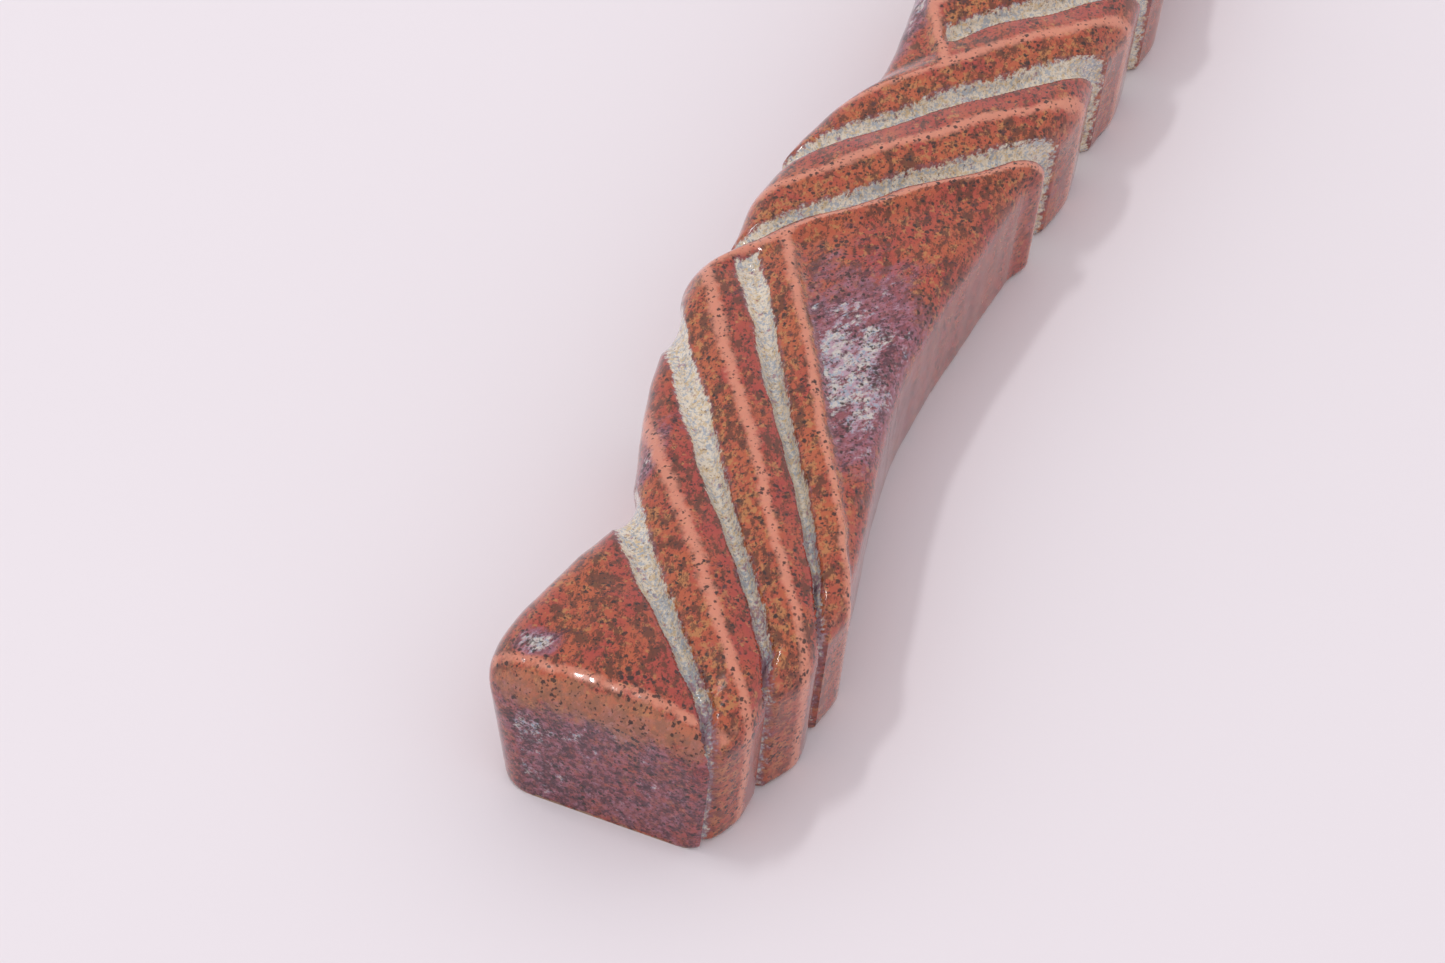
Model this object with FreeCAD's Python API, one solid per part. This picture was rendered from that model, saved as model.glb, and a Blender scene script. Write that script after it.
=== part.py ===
# Ceramic mezuzah case lying on its back: glazed shell, neck stopper, rolled parchment and its sleeve.
#
# Millimetres. +X runs across the case to the right, +Y from the bottom end to the top end, and +Z out
# of the carved front. The origin is on the flat back, half-way along the case, under the bore's axis.
# "along" is always the distance from the bottom end.
import FreeCAD, Part

import math
import os

# ---- Shell: overall sizes ---------------------------------------------------------------------------
LENGTH = 150.0
THICKNESS = 18.0
BACK_WALL = 4.2
FRONT_WALL = 1.9          # clay left between the chamber and the deepest groove
SIDE_WALL = 1.6           # clay left beside the chamber at the narrowest waist
BOTTOM_WALL = 12.0        # solid clay at the closed bottom end
NECK_LENGTH = 12.0        # round bore between the top end and the chamber
CHAMBER_CORNER = 2.5      # rounding along the chamber's four long edges

END_ROUND = 3.2           # rounding where both end faces meet the sides and the front
EDGE_ROUND = 4.0          # rounding between the front and the side walls
FOOT_ROUND = 0.8          # rounding where the side walls meet the back
WALL_LEAN = 1.0           # how far each side wall leans in on its way down to the back
CROWN = 0.7               # rise of the front from its rounded edges to its middle

# The side walls swing between bulges and waists. Each pair is the place along a case of PATTERN_LENGTH
# and the half width there; the whole pattern stretches with LENGTH.
PATTERN_LENGTH = 150.0
LEFT_EDGE = [(0.0, 12.4), (5.0, 12.9), (23.5, 9.6), (53.0, 16.0), (65.0, 14.2), (74.0, 14.7),
             (93.0, 10.2), (122.0, 13.4), (150.0, 12.4)]
RIGHT_EDGE = [(0.0, 12.4), (18.0, 16.2), (56.0, 10.4), (100.0, 12.9), (122.0, 13.4), (138.0, 11.4),
              (150.0, 12.2)]

# ---- Shell: carved relief ---------------------------------------------------------------------------
ROOF_FALL = 1.0           # drop from a ridge's crest to the lip of its groove
ROOF_SOFTNESS = 0.22      # how rounded the crest is, as a share of the slope's run
GROOVE_DEPTH = 1.4        # depth of a groove below its lips
FIELD_DEPTH = 0.9         # how far the plain fields lie below the crests round them
FIELD_SLOPE = 3.0         # run over which a field drops away from its crest
RIM_RUN = 2.6             # run over which a cut-off band rises to the ridge that crosses it
RELIEF_FADE = 1.8         # run over which the relief dies out at both ends

# ---- Hanging keyholes in the back wall --------------------------------------------------------------
KEYHOLE_ENTRY_RADIUS = 4.0
KEYHOLE_SLOT_WIDTH = 4.6
KEYHOLE_TRAVEL = 8.0      # from the entry's centre to the slot's end centre
KEYHOLE_LOWER_INSET = 6.0     # lower entry's centre above the chamber's closed end
KEYHOLE_UPPER_INSET = 17.0    # upper entry's centre below the neck
SCREW_HEAD_RADIUS = 3.6
SCREW_HEAD_ROOM = 2.4

# ---- Contents ---------------------------------------------------------------------------------------
SLIDE_CLEARANCE = 0.3     # between the sleeve and the bore, all round
SLEEVE_WALL = 0.25
SLEEVE_OVERHANG = 2.0     # how far the sleeve runs past the parchment at each end
SLEEVE_TO_ENTRY = 1.0     # between the sleeve's upper end and the upper keyhole
ROLL_CLEARANCE = 0.15     # between the sleeve and the roll
SHEET_THICKNESS = 0.3
SHEET_GAP = 0.15
ROLL_CORE_RADIUS = 1.2

# ---- Stopper ----------------------------------------------------------------------------------------
STOPPER_CLEARANCE = 0.08
STOPPER_DEPTH = 10.0
STOPPER_CORE_STEP = 0.7   # how far the core lies inside the sealing ribs
RIB_COUNT = 3
RIB_WIDTH = 1.4
FLANGE_LAP = 1.35         # how far the flange covers the end face round the bore
FLANGE_THICKNESS = 2.4
FLANGE_ROUND = 0.8

# ---- Sizes worked out from the ones above -----------------------------------------------------------
DEEPEST_CUT = ROOF_FALL + GROOVE_DEPTH
NARROWEST = min(half for _, half in LEFT_EDGE + RIGHT_EDGE)
CHAMBER_HEIGHT = THICKNESS - BACK_WALL - FRONT_WALL - DEEPEST_CUT
CHAMBER_WIDTH = 2.0 * (NARROWEST - DEEPEST_CUT - SIDE_WALL)
BORE_RADIUS = min(CHAMBER_HEIGHT, CHAMBER_WIDTH) / 2.0
BORE_AXIS_Z = BACK_WALL + BORE_RADIUS
NECK_START = LENGTH - NECK_LENGTH
LOWER_ENTRY = BOTTOM_WALL + KEYHOLE_LOWER_INSET
UPPER_ENTRY = NECK_START - KEYHOLE_UPPER_INSET
SLEEVE_RADIUS = BORE_RADIUS - SLIDE_CLEARANCE
SLEEVE_START = LOWER_ENTRY + KEYHOLE_TRAVEL + SCREW_HEAD_RADIUS + SCREW_HEAD_ROOM
SLEEVE_END = UPPER_ENTRY - KEYHOLE_ENTRY_RADIUS - SLEEVE_TO_ENTRY
ROLL_RADIUS = SLEEVE_RADIUS - SLEEVE_WALL - ROLL_CLEARANCE

# ---- Fineness of the carved skin --------------------------------------------------------------------
STATION_STEP = 0.9
END_STATIONS = 10
FOOT_POINTS = 3
WALL_POINTS = 7
EDGE_POINTS = 8
FRONT_POINTS = 46
OVERSHOOT = 1.0           # how far a cutter runs past the face that it opens


class Band:
    """A band of parallel grooves with a roof-shaped ridge between each two.

    A line of the band crosses the case's middle at "number" and falls to the right by its slope.
    The slope grows by "fan" with each millimetre of number past the first groove.
    """

    def __init__(self, first, pitch, count, slope, fan, lead, narrow, wide, shallow):
        self.first = first
        self.pitch = pitch
        self.count = count
        self.slope = slope
        self.fan = fan
        self.lead = lead          # from the crest below the first groove to that groove
        self.narrow = narrow      # half width of a groove, in numbers, at the right edge
        self.wide = wide          # the same at the left edge
        self.shallow = shallow    # share of the groove's depth that is lost at the left edge

    def number(self, x, place):
        start = self.slope - self.fan * self.first
        return (place + start * x) / (1.0 - self.fan * x)

    def lower_crest(self):
        return self.first - self.lead

    def upper_crest(self):
        return self.first + (self.count - 0.5) * self.pitch

    def depth(self, x, number):
        index = round((number - self.first) / self.pitch)
        index = max(0, min(self.count - 1, index))
        offset = number - self.first - index * self.pitch
        run = self.lead if index == 0 and offset < 0.0 else self.pitch / 2.0
        climb = min(1.0, abs(offset) / run)
        half = self.wide + (self.narrow - self.wide) * ease((x + 13.0) / 26.0)
        trough = max(0.0, 1.0 - (offset / half) ** 2)
        trough *= 1.0 - self.shallow * ease(-x / 8.0)
        return ROOF_FALL * soft_roof(climb) + GROOVE_DEPTH * trough


# Steep band up from the bottom right, gentler band up to the right, and steep band near the top.
LOWER_BAND = Band(first=14.0, pitch=14.2, count=3, slope=1.14, fan=0.016, lead=7.0,
                  narrow=1.5, wide=2.1, shallow=0.6)
MIDDLE_BAND = Band(first=75.4, pitch=14.2, count=3, slope=-1.05, fan=0.0, lead=3.3,
                   narrow=2.0, wide=1.6, shallow=0.3)
UPPER_BAND = Band(first=97.0, pitch=14.5, count=3, slope=1.8, fan=0.0, lead=7.25,
                  narrow=1.8, wide=2.2, shallow=0.3)


def ease(share):
    """Smooth step from 0 to 1."""
    share = max(0.0, min(1.0, share))
    return share * share * (3.0 - 2.0 * share)


def soft_roof(climb):
    """Drop below the crest, 1 at the groove and 0 at the crest, with the crest rounded."""
    reach = math.hypot(1.0 - climb, ROOF_SOFTNESS) - ROOF_SOFTNESS
    return reach / (math.hypot(1.0, ROOF_SOFTNESS) - ROOF_SOFTNESS)


def half_width(edge, place):
    """Half width at a place along the pattern: smooth swings between the listed bulges and waists."""
    for (start, first), (end, second) in zip(edge, edge[1:]):
        if place <= end:
            return first + (second - first) * ease((place - start) / (end - start))
    return edge[-1][1]


def relief(x, along):
    """Depth of the carving under the uncarved surface."""
    place = along * PATTERN_LENGTH / LENGTH
    low = LOWER_BAND.number(x, place)
    middle = MIDDLE_BAND.number(x, place)
    high = UPPER_BAND.number(x, place)
    cross = MIDDLE_BAND.lower_crest()
    if middle < cross:
        return lower_relief(x, low) * ease((cross - middle) / RIM_RUN)
    left_field = MIDDLE_BAND.first + 1.5 * MIDDLE_BAND.pitch
    if middle > left_field and high < UPPER_BAND.lower_crest():
        inside = ease((UPPER_BAND.lower_crest() - high) / FIELD_SLOPE)
        return FIELD_DEPTH * inside * ease((middle - left_field) / FIELD_SLOPE)
    top_crest = MIDDLE_BAND.upper_crest()
    if middle > top_crest:
        return upper_relief(x, high) * ease((middle - top_crest) / RIM_RUN)
    depth = MIDDLE_BAND.depth(x, middle)
    if middle > left_field:
        depth *= ease((high - UPPER_BAND.lower_crest()) / RIM_RUN)
    return depth


def lower_relief(x, number):
    """Bottom field, three grooves, and the plain field to their right."""
    if number < LOWER_BAND.upper_crest():
        return LOWER_BAND.depth(x, number)
    return FIELD_DEPTH * ease((number - LOWER_BAND.upper_crest()) / FIELD_SLOPE)


def upper_relief(x, number):
    """Three steep grooves, and the plain field in the top right corner."""
    if number < UPPER_BAND.upper_crest():
        return UPPER_BAND.depth(x, number)
    return FIELD_DEPTH * ease((number - UPPER_BAND.upper_crest()) / FIELD_SLOPE)


def place_at(x, along, z):
    return FreeCAD.Vector(x, along - LENGTH / 2.0, z)


def end_inset(along):
    """How far the section shrinks near the ends, along a quarter circle."""
    reach = min(along, LENGTH - along)
    if reach >= END_ROUND:
        return 0.0
    return END_ROUND - math.sqrt(END_ROUND ** 2 - (END_ROUND - reach) ** 2)


def side_points(half, top):
    """Right-hand half of a section from the back up to the front: (x, z, outward x, outward z)."""
    foot = half - WALL_LEAN
    points = []
    for step in range(FOOT_POINTS):
        turn = math.radians(90.0 * step / FOOT_POINTS)
        x = foot - FOOT_ROUND * (1.0 - math.sin(turn))
        points.append((x, FOOT_ROUND * (1.0 - math.cos(turn)), 1.0, 0.0))
    wall_top = top - CROWN - EDGE_ROUND
    for step in range(WALL_POINTS):
        climb = step / WALL_POINTS
        points.append((foot + WALL_LEAN * climb, FOOT_ROUND + (wall_top - FOOT_ROUND) * climb, 1.0, 0.0))
    for step in range(EDGE_POINTS):
        turn = math.radians(90.0 * step / EDGE_POINTS)
        x = half - EDGE_ROUND * (1.0 - math.cos(turn))
        z = wall_top + EDGE_ROUND * math.sin(turn)
        points.append((x, z, math.cos(turn), math.sin(turn)))
    return points


def section(along):
    """One closed-at-the-back section of the carved skin, from the left foot to the right foot."""
    inset = end_inset(along)
    place = along * PATTERN_LENGTH / LENGTH
    top = THICKNESS - inset
    left = half_width(LEFT_EDGE, place) - inset
    right = half_width(RIGHT_EDGE, place) - inset
    base = [(-x, z, -out_x, out_z) for x, z, out_x, out_z in side_points(left, top)]
    front_left = EDGE_ROUND - left
    front_right = right - EDGE_ROUND
    middle = (front_left + front_right) / 2.0
    reach = (front_right - front_left) / 2.0
    for step in range(FRONT_POINTS + 1):
        x = front_left + (front_right - front_left) * step / FRONT_POINTS
        base.append((x, top - CROWN * ((x - middle) / reach) ** 2, 0.0, 1.0))
    base += reversed(side_points(right, top))
    fade = ease(min(along, LENGTH - along) / RELIEF_FADE)
    row = []
    for x, z, out_x, out_z in base:
        on_wall = -left if out_x < 0.0 and out_z == 0.0 else right if out_z == 0.0 else x
        depth = relief(on_wall, along) * fade
        row.append(place_at(x - out_x * depth, along, z - out_z * depth))
    return row


def stations():
    """Places of the sections: close together round the ends, evenly spaced between."""
    ends = [END_ROUND * (1.0 - math.cos(math.radians(90.0 * step / END_STATIONS)))
            for step in range(END_STATIONS)]
    straight = LENGTH - 2.0 * END_ROUND
    count = math.ceil(straight / STATION_STEP)
    middle = [END_ROUND + straight * step / count for step in range(count + 1)]
    return ends + middle + [LENGTH - along for along in reversed(ends)]


def flat_face(edges):
    return Part.Face(Part.Wire(Part.__sortEdges__(edges)))


def edge_between(shape, start, end):
    """The shape's edge that runs between two given points."""
    tips = [Part.Vertex(start), Part.Vertex(end)]
    return next(edge for edge in shape.Edges if all(edge.distToShape(tip)[0] < 1e-4 for tip in tips))


def outer_body():
    """The solid bar: one carved skin, a flat back and two flat ends."""
    rows = [section(along) for along in stations()]
    surface = Part.BSplineSurface()
    surface.interpolate(rows)
    skin = surface.toShape()
    first, last = rows[0], rows[-1]
    bottom_line = Part.makeLine(first[0], first[-1])
    top_line = Part.makeLine(last[0], last[-1])
    bottom_curve = edge_between(skin, first[0], first[-1])
    top_curve = edge_between(skin, last[0], last[-1])
    feet = [edge_between(skin, first[0], last[0]), edge_between(skin, first[-1], last[-1])]
    faces = [skin, flat_face([bottom_curve, bottom_line]), flat_face([top_curve, top_line]),
             flat_face(feet + [bottom_line, top_line])]
    shell = Part.makeShell(faces)
    shell.sewShape()
    body = Part.makeSolid(shell)
    if body.Volume < 0.0:
        body.reverse()
    return body


def chamber():
    """Flat-floored chamber for the scroll, with its long edges rounded."""
    corner = FreeCAD.Vector(-CHAMBER_WIDTH / 2.0, BOTTOM_WALL - LENGTH / 2.0, BACK_WALL)
    block = Part.makeBox(CHAMBER_WIDTH, NECK_START - BOTTOM_WALL, CHAMBER_HEIGHT, corner)
    long_edges = [e for e in block.Edges if abs(e.tangentAt(e.FirstParameter).y) > 0.99]
    return block.makeFillet(CHAMBER_CORNER, long_edges)


def neck():
    start = place_at(0.0, NECK_START - OVERSHOOT, BORE_AXIS_Z)
    return Part.makeCylinder(BORE_RADIUS, NECK_LENGTH + 2.0 * OVERSHOOT, start, FreeCAD.Vector(0, 1, 0))


def keyhole(entry):
    """Round entry for a screw's head and a slot for its shank, through the back wall."""
    height = BACK_WALL + 2.0 * OVERSHOOT
    start = place_at(0.0, entry, -OVERSHOOT)
    end = place_at(0.0, entry + KEYHOLE_TRAVEL, -OVERSHOOT)
    up = FreeCAD.Vector(0, 0, 1)
    half = KEYHOLE_SLOT_WIDTH / 2.0
    hole = Part.makeCylinder(KEYHOLE_ENTRY_RADIUS, height, start, up)
    slot = Part.makeBox(KEYHOLE_SLOT_WIDTH, KEYHOLE_TRAVEL, height, start - FreeCAD.Vector(half, 0, 0))
    return hole.fuse([slot, Part.makeCylinder(half, height, end, up)]).removeSplitter()


def case_shell():
    hollow = chamber().fuse([neck(), keyhole(LOWER_ENTRY), keyhole(UPPER_ENTRY)])
    return outer_body().cut(hollow)


def half_turns():
    return 2 * int((ROLL_RADIUS - ROLL_CORE_RADIUS) / (SHEET_THICKNESS + SHEET_GAP))


def spiral_arcs(radius):
    """Half-turn arcs that wind inwards from the given radius, each joined to the next."""
    pitch = SHEET_THICKNESS + SHEET_GAP
    start_y = SLEEVE_START + SLEEVE_OVERHANG - LENGTH / 2.0
    arcs = []
    for turn in range(half_turns()):
        reach = radius - turn * pitch / 2.0
        side = 1.0 if turn % 2 == 0 else -1.0
        centre = 0.0 if turn % 2 == 0 else -pitch / 2.0
        points = [FreeCAD.Vector(centre + side * reach * math.cos(math.radians(angle)), start_y,
                                 BORE_AXIS_Z + side * reach * math.sin(math.radians(angle)))
                  for angle in (0.0, 90.0, 180.0)]
        arcs.append(Part.Arc(*points).toShape())
    return arcs


def parchment_scroll():
    """One sheet of parchment rolled into a spiral."""
    outer = spiral_arcs(ROLL_RADIUS)
    inner = spiral_arcs(ROLL_RADIUS - SHEET_THICKNESS)
    closing = [Part.makeLine(outer[0].valueAt(outer[0].FirstParameter),
                             inner[0].valueAt(inner[0].FirstParameter)),
               Part.makeLine(outer[-1].valueAt(outer[-1].LastParameter),
                             inner[-1].valueAt(inner[-1].LastParameter))]
    length = SLEEVE_END - SLEEVE_START - 2.0 * SLEEVE_OVERHANG
    return flat_face(outer + inner + closing).extrude(FreeCAD.Vector(0, length, 0))


def scroll_sleeve():
    """Clear film tube that keeps the roll shut."""
    start = place_at(0.0, SLEEVE_START, BORE_AXIS_Z)
    length = SLEEVE_END - SLEEVE_START
    axis = FreeCAD.Vector(0, 1, 0)
    outside = Part.makeCylinder(SLEEVE_RADIUS, length, start, axis)
    return outside.cut(Part.makeCylinder(SLEEVE_RADIUS - SLEEVE_WALL, length, start, axis))


def neck_stopper():
    """Rubber bung: ribbed plug in the neck and a rounded flange against the end face."""
    rib = BORE_RADIUS - STOPPER_CLEARANCE
    core = rib - STOPPER_CORE_STEP
    start = place_at(0.0, LENGTH - STOPPER_DEPTH, BORE_AXIS_Z)
    axis = FreeCAD.Vector(0, 1, 0)
    body = Part.makeCylinder(core, STOPPER_DEPTH, start, axis)
    spacing = (STOPPER_DEPTH - RIB_WIDTH) / RIB_COUNT
    for index in range(RIB_COUNT):
        foot = start + axis * (spacing * (index + 0.5))
        ring = Part.makeCylinder(rib, RIB_WIDTH, foot, axis)
        body = body.fuse(ring.makeChamfer(RIB_WIDTH / 3.0, ring.Edges[0:3:2]))
    flange = Part.makeCylinder(BORE_RADIUS + FLANGE_LAP, FLANGE_THICKNESS, start + axis * STOPPER_DEPTH, axis)
    rim = max(flange.Edges, key=lambda e: e.BoundBox.YMin)
    return body.fuse(flange.makeFillet(FLANGE_ROUND, [rim])).removeSplitter()


NODES = {
    "case_shell": case_shell,
    "neck_stopper": neck_stopper,
    "scroll_sleeve": scroll_sleeve,
    "parchment_scroll": parchment_scroll,
}


def main():
    os.makedirs("parts", exist_ok=True)
    for node, build in NODES.items():
        shape = build()
        shape.exportStep("parts/" + node + ".step")
        box = shape.BoundBox
        print(node, "valid", shape.isValid(), "solids", len(shape.Solids), "volume", round(shape.Volume, 1),
              "x", round(box.XMin, 2), round(box.XMax, 2), "y", round(box.YMin, 2), round(box.YMax, 2),
              "z", round(box.ZMin, 2), round(box.ZMax, 2))


main()
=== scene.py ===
"""Glazed ceramic mezuzah case on its back: carved shell, stopper, and the sleeved parchment inside."""
from __future__ import annotations

import logging
import math
from dataclasses import dataclass, field
from enum import Enum
from typing import Any, Iterable, Sequence

import bmesh
import bpy
import numpy as np
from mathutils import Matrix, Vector

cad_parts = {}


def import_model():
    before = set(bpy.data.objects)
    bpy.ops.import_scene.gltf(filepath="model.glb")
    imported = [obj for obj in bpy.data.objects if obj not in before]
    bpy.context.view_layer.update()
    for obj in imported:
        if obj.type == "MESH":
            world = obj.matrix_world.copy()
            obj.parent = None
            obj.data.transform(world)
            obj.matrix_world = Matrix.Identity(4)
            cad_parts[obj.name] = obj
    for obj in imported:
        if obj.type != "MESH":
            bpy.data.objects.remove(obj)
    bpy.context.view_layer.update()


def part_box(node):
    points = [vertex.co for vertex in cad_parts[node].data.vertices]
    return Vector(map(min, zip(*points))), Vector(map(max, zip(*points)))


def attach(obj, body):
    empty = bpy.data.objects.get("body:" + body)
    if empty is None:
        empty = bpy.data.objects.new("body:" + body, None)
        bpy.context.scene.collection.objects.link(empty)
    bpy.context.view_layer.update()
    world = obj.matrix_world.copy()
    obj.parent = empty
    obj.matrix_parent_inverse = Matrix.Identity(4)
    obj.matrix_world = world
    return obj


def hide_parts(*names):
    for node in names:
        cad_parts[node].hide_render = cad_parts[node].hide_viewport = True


MM = 0.001
CUT_PAST = 1.0  # millimetres that a cutting solid reaches past the face that it opens
LIP_SHIFT = 2.0  # millimetres added to the stored distance inside a groove's edge, so that 0 is plain
LOG = logging.getLogger("mezuzah_case")
Colour = tuple[float, float, float]
Outline = list[tuple[float, float]]


class Body(Enum):
    """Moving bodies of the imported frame."""

    CASE = "case"
    STOPPER = "stopper"
    SCROLL = "scroll"


class Trace(Enum):
    """Values stored on the shell's vertices for the glaze to follow; 0 always means plain."""

    GROOVE = "groove"
    CREST = "crest"
    # Painted light and shade: the sign tells a groove side that faces the light from one turned away.
    SIDE_SHADING = "tilt"
    WALL = "wall"
    POOL = "pool"


# ---- Shader maths -----------------------------------------------------------------------------------


class Sock:
    """A node socket that adds Math nodes when it is used in arithmetic."""

    def __init__(self, graph: "Graph", socket: bpy.types.NodeSocket) -> None:
        """Wrap an output socket.

        Args:
            graph: Graph that new nodes are added to.
            socket: Output socket to wrap.
        """
        self.graph = graph
        self.socket = socket

    def _math(self, operation: str, first: Any, second: Any) -> "Sock":
        """Add one Math node.

        Args:
            operation: Math operation.
            first: First value or link.
            second: Second value or link.

        Returns:
            The node's result.
        """
        return self.graph.node("ShaderNodeMath", {"operation": operation}, {0: first, 1: second})

    def __add__(self, other: Any) -> "Sock":
        """Sum."""
        return self._math("ADD", self, other)

    def __radd__(self, other: Any) -> "Sock":
        """Sum with this on the right."""
        return self._math("ADD", other, self)

    def __sub__(self, other: Any) -> "Sock":
        """Difference."""
        return self._math("SUBTRACT", self, other)

    def __rsub__(self, other: Any) -> "Sock":
        """Difference with this on the right."""
        return self._math("SUBTRACT", other, self)

    def __mul__(self, other: Any) -> "Sock":
        """Product."""
        return self._math("MULTIPLY", self, other)

    def __rmul__(self, other: Any) -> "Sock":
        """Product with this on the right."""
        return self._math("MULTIPLY", other, self)


class Graph:
    """Node tree of one material, with short ways to add what the finishes use."""

    def __init__(self, name: str) -> None:
        """Make an empty material.

        Args:
            name: Name of the material.
        """
        self.material = bpy.data.materials.new(name)
        self.material.use_nodes = True
        self.tree = self.material.node_tree
        self.tree.nodes.clear()

    def node(self, kind: str, settings: dict[str, Any], inputs: dict[Any, Any], output: Any = 0) -> Sock:
        """Add any node.

        Args:
            kind: Node type.
            settings: Node properties; "stops" holds a ramp's (place, colour) pairs.
            inputs: Socket name or index to a value or a link.
            output: Name or index of the output to return.

        Returns:
            The chosen output.
        """
        made = self.tree.nodes.new(kind)
        for key, value in settings.items():
            if key == "stops":
                self._set_stops(made.color_ramp, value)
            else:
                setattr(made, key, value)
        for key, value in inputs.items():
            if isinstance(value, Sock):
                self.tree.links.new(value.socket, made.inputs[key])
            else:
                made.inputs[key].default_value = value
        return Sock(self, made.outputs[output])

    @staticmethod
    def _set_stops(ramp: bpy.types.ColorRamp, stops: Sequence[tuple[float, Colour]]) -> None:
        """Give a ramp its stops.

        Args:
            ramp: Colour ramp of a node.
            stops: Place and colour of each stop.
        """
        while len(ramp.elements) < len(stops):
            ramp.elements.new(1.0)
        for element, (place, colour) in zip(ramp.elements, stops):
            element.position = place
            element.color = (*colour, 1.0)

    def position(self) -> Sock:
        """Object position in millimetres."""
        coordinates = self.node("ShaderNodeTexCoord", {}, {}, "Object")
        return self.node("ShaderNodeVectorMath", {"operation": "SCALE"}, {0: coordinates, "Scale": 1.0 / MM})

    def part_of(self, vector: Sock, axis: str) -> Sock:
        """One axis of a vector."""
        return self.node("ShaderNodeSeparateXYZ", {}, {0: vector}, axis)

    def stretched(self, vector: Sock, scale: tuple[float, float, float], turn: float = 0.0) -> Sock:
        """Scale and turn a position, for streaks.

        Args:
            vector: Position.
            scale: Scale along each axis after the turn.
            turn: Turn about the vertical, in degrees.

        Returns:
            The changed position.
        """
        turned = self.node("ShaderNodeVectorRotate", {"rotation_type": "Z_AXIS"},
                           {"Vector": vector, "Angle": math.radians(turn)})
        return self.node("ShaderNodeVectorMath", {"operation": "MULTIPLY"}, {0: turned, 1: scale})

    def noise(self, vector: Sock, size: float, detail: float = 2.0, rough: float = 0.5,
              shift: float = 0.0) -> Sock:
        """Smooth noise from 0 to 1.

        Args:
            vector: Position.
            size: Size of one blotch, in the position's units.
            detail: Octaves.
            rough: Strength of the finer octaves.
            shift: Fourth coordinate, to tell one noise from the next.

        Returns:
            The noise.
        """
        return self.node("ShaderNodeTexNoise", {"noise_dimensions": "4D"},
                         {"Vector": vector, "Scale": 1.0 / size, "Detail": detail, "Roughness": rough,
                          "W": shift})

    def cells(self, vector: Sock, size: float) -> Sock:
        """Distance to the nearest of some scattered points, in units of their spacing."""
        return self.node("ShaderNodeTexVoronoi", {}, {"Vector": vector, "Scale": 1.0 / size}, "Distance")

    def trace(self, name: Trace) -> Sock:
        """Value stored on the vertices."""
        return self.node("ShaderNodeAttribute", {"attribute_name": name.value}, {}, "Fac")

    def step(self, value: Sock, low: float, high: float) -> Sock:
        """Smooth step from 0 at low to 1 at high; low may be the larger."""
        return self.node("ShaderNodeMapRange", {"interpolation_type": "SMOOTHSTEP"},
                         {"Value": value, "From Min": low, "From Max": high})

    def mix(self, factor: Any, first: Any, second: Any) -> Sock:
        """Blend two colours.

        Args:
            factor: Share of the second colour.
            first: First colour.
            second: Second colour.

        Returns:
            The blend.
        """
        full = [(*c, 1.0) if isinstance(c, tuple) else c for c in (first, second)]
        return self.node("ShaderNodeMix", {"data_type": "RGBA"}, {0: factor, 6: full[0], 7: full[1]}, 2)

    def bump(self, height: Sock, reach: float, strength: float = 1.0) -> Sock:
        """Bump normal.

        Args:
            height: Height from 0 to 1.
            reach: Height of 1, in metres.
            strength: Share of the bump that shows.

        Returns:
            The normal.
        """
        return self.node("ShaderNodeBump", {}, {"Height": height, "Distance": reach, "Strength": strength})

    def surface(self, inputs: dict[str, Any]) -> bpy.types.Material:
        """Finish the material with a Principled shader.

        Args:
            inputs: Shader sockets by name.

        Returns:
            The material.
        """
        shader = self.node("ShaderNodeBsdfPrincipled", {}, inputs)
        self.node_output(shader)
        return self.material

    def node_output(self, shader: Sock) -> None:
        """Connect a shader to the material's output."""
        end = self.tree.nodes.new("ShaderNodeOutputMaterial")
        self.tree.links.new(shader.socket, end.inputs["Surface"])


# ---- Finishes ---------------------------------------------------------------------------------------


@dataclass(frozen=True)
class Mottle:
    """Noise cut into blotches with soft edges.

    Attributes:
        size: Size of one blotch, in millimetres.
        detail: Octaves of the noise.
        rough: Strength of the finer octaves.
        seed: Tells one noise from the next.
        low: Noise at which a blotch begins.
        high: Noise at which a blotch is full.
        share: Share of the blotch's colour where it is full.
    """

    size: float
    detail: float
    rough: float
    seed: float
    low: float
    high: float
    share: float = 1.0

    def over(self, g: Graph, at: Sock, lift: Any = 0.0) -> Sock:
        """Share of the blotches' colour at each point.

        Args:
            g: Graph to add to.
            at: Position in millimetres.
            lift: Value or link added to the noise, which widens the blotches.

        Returns:
            The share.
        """
        value = g.noise(at, self.size, self.detail, self.rough, self.seed) + lift
        return g.step(value, self.low, self.high) * self.share


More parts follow.
